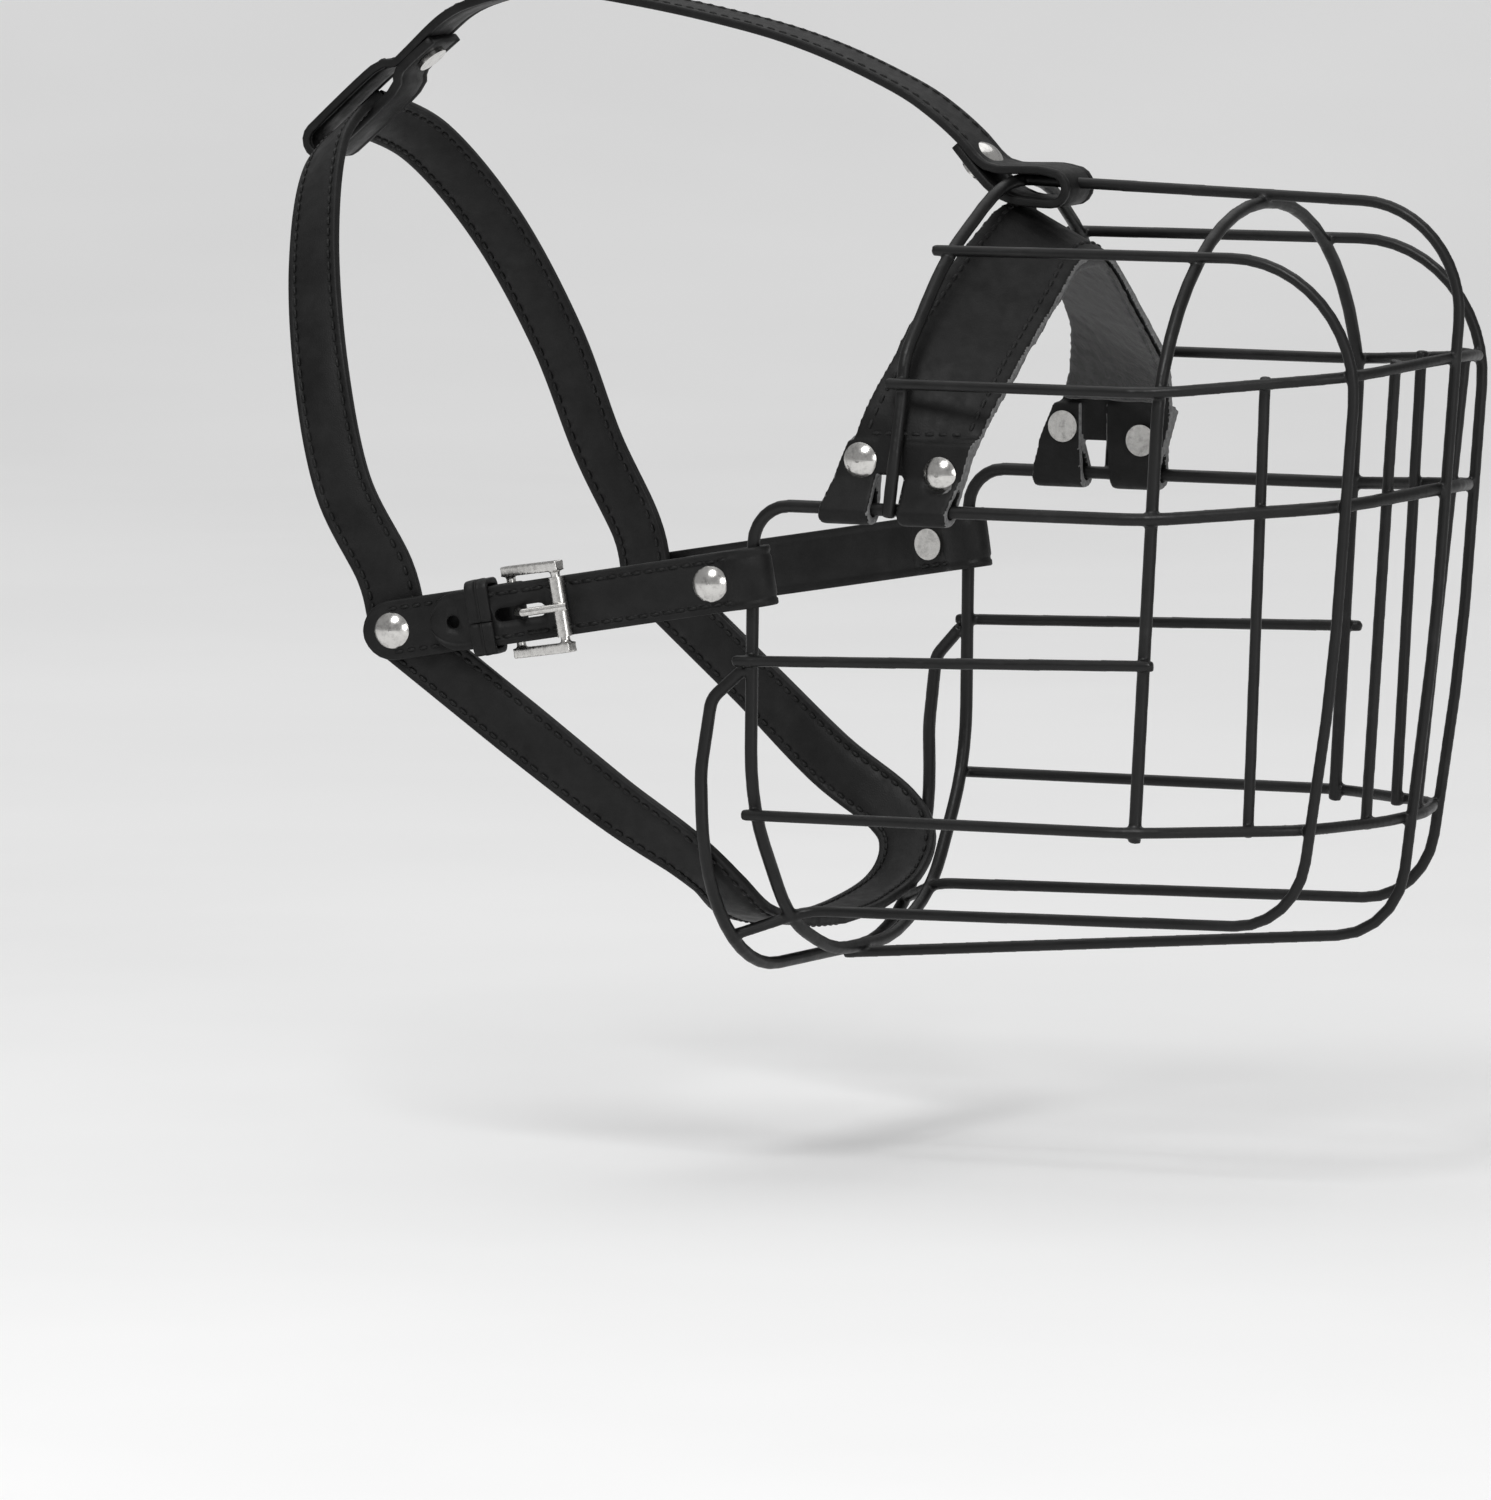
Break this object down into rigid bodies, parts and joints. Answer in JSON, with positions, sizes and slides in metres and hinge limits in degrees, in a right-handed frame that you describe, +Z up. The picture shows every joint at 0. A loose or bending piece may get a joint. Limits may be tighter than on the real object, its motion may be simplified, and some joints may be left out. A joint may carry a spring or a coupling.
{
  "type": "basket muzzle",
  "caption": "Welded cage of rubber-coated wire with a felt-lined leather nose pad and a riveted, buckled leather harness; it closes round a very large dog's jaws.",
  "frame": {"origin": "centre of the rear opening, on the rear rim's plane", "axes": "+X towards the nose, +Y to the dog's left, +Z up"},
  "size_m": [0.3192, 0.1599, 0.2438],
  "materials": {
    "coated_wire": "satin",
    "leather": "satin",
    "felt": "matte",
    "nickel": "polished"
  },
  "bodies": {
    "cage": {"centre_wire": "coated_wire", "right_bow_wire": "coated_wire", "left_bow_wire": "coated_wire", "upper_ring_wire": "coated_wire", "rim_wire": "coated_wire", "lower_ring_wire": "coated_wire", "arch_wire": "coated_wire", "rear_hoop_wire": "coated_wire", "throat_loop_wire": "coated_wire", "right_side_rail": "coated_wire", "left_side_rail": "coated_wire", "side_uprights": "coated_wire", "front_uprights": "coated_wire", "pad_leather": "leather", "pad_felt": "felt", "pad_rivets": "nickel", "neck_strap": "leather", "throat_strap": "leather", "nape_rivet": "nickel"},
    "right_cheek": {"right_cheek_strap": "leather", "right_cheek_rivet": "nickel", "buckle_tab": "leather", "right_junction_rivet": "nickel"},
    "left_cheek": {"left_cheek_strap": "leather", "left_cheek_rivet": "nickel", "left_junction_rivet": "nickel"},
    "forehead": {"forehead_strap": "leather", "forehead_rivet": "nickel"},
    "buckle": {"buckle_frame": "nickel"},
    "roller": {"buckle_roller": "nickel"},
    "tongue": {"buckle_tongue": "nickel"},
    "keeper": {"keeper_loop": "leather"}
  },
  "joints": [
    {"name": "right_cheek_swing", "type": "hinge", "parent": "cage", "child": "right_cheek", "pos_m": [0, -0.0625, 0.0405], "axis": [0, 0, 1], "range_deg": [-8, 20], "deforming": ["neck_strap", "throat_strap"]},
    {"name": "left_cheek_swing", "type": "hinge", "parent": "cage", "child": "left_cheek", "pos_m": [0, 0.0625, 0.0405], "axis": [0, 0, -1], "range_deg": [-8, 20], "deforming": ["neck_strap", "throat_strap"]},
    {"name": "forehead_lift", "type": "hinge", "parent": "cage", "child": "forehead", "pos_m": [0.0444, 0, 0.137], "axis": [0, 1, 0], "range_deg": [0, 10], "deforming": ["forehead_strap"]},
    {"name": "buckle_rock", "type": "hinge", "parent": "right_cheek", "child": "buckle", "pos_m": [-0.06224, -0.07017, 0.03002], "axis": [0.1626, 0.0284, -0.9863], "range_deg": [0, 8]},
    {"name": "roller_spin", "type": "hinge", "parent": "buckle", "child": "roller", "pos_m": [-0.0473, -0.07543, 0.03233], "axis": [0.1626, 0.0284, -0.9863], "continuous": true},
    {"name": "tongue_lift", "type": "hinge", "parent": "buckle", "child": "tongue", "pos_m": [-0.06224, -0.07017, 0.03002], "axis": [0.1626, 0.0284, -0.9863], "range_deg": [0, 40]},
    {"name": "keeper_slide", "type": "slide", "parent": "right_cheek", "child": "keeper", "axis": [-0.9716, -0.1696, -0.165], "range_m": [-0.001, 0.0015]}
  ]
}
